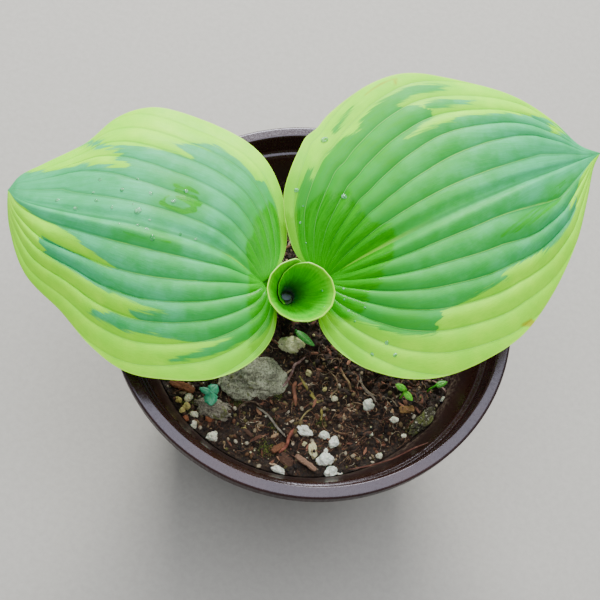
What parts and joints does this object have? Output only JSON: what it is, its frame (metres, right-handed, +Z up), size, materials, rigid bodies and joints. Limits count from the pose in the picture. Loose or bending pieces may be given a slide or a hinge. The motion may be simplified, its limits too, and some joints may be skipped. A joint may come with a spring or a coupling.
{
  "type": "potted hosta plant",
  "caption": "Young hosta with two broad ribbed leaves and a rolled central leaf, rooted in potting mix in a round tapered pot with a turned-down rim.",
  "frame": {"origin": "middle of the pot's flat underside, on the surface that it stands on", "axes": "+Z up; +X towards the tip of the right leaf's side, along the longest extent; +Y towards the far side of the pot, as the picture looks at it"},
  "size_m": [0.215, 0.1602, 0.1673],
  "materials": {
    "pot": "gloss",
    "potting_mix": "matte",
    "leaf": "satin",
    "young_leaf": "satin",
    "mossy_stone": "matte",
    "pale_stone": "matte",
    "perlite": "matte",
    "bark": "matte",
    "root": "matte",
    "seedling": "satin"
  },
  "bodies": {
    "root": {"pot": "pot", "soil": "potting_mix", "leaf_left": "leaf", "leaf_right": "leaf", "leaf_rolled": "young_leaf", "stone_mossy": "mossy_stone", "clod_grey": "mossy_stone", "clod_mossy": "mossy_stone", "pebble_cream": "pale_stone", "perlite_1": "perlite", "perlite_2": "perlite", "perlite_3": "perlite", "perlite_4": "perlite", "perlite_5": "perlite", "perlite_6": "perlite", "perlite_7": "perlite", "perlite_8": "perlite", "perlite_9": "perlite", "perlite_10": "perlite", "perlite_11": "perlite", "perlite_12": "perlite", "perlite_13": "perlite", "perlite_14": "perlite", "perlite_15": "perlite", "perlite_16": "perlite", "perlite_17": "perlite", "bark_1": "bark", "bark_2": "bark", "bark_3": "bark", "bark_4": "bark", "bark_5": "bark", "bark_6": "bark", "root_olive": "root", "root_grey": "root", "straw_red": "root", "root_pale": "root", "husk_brown": "root", "seedling_lobed": "seedling", "seedling_pair": "seedling", "seedling_single": "seedling", "seedling_slender": "seedling"}
  },
  "joints": []
}
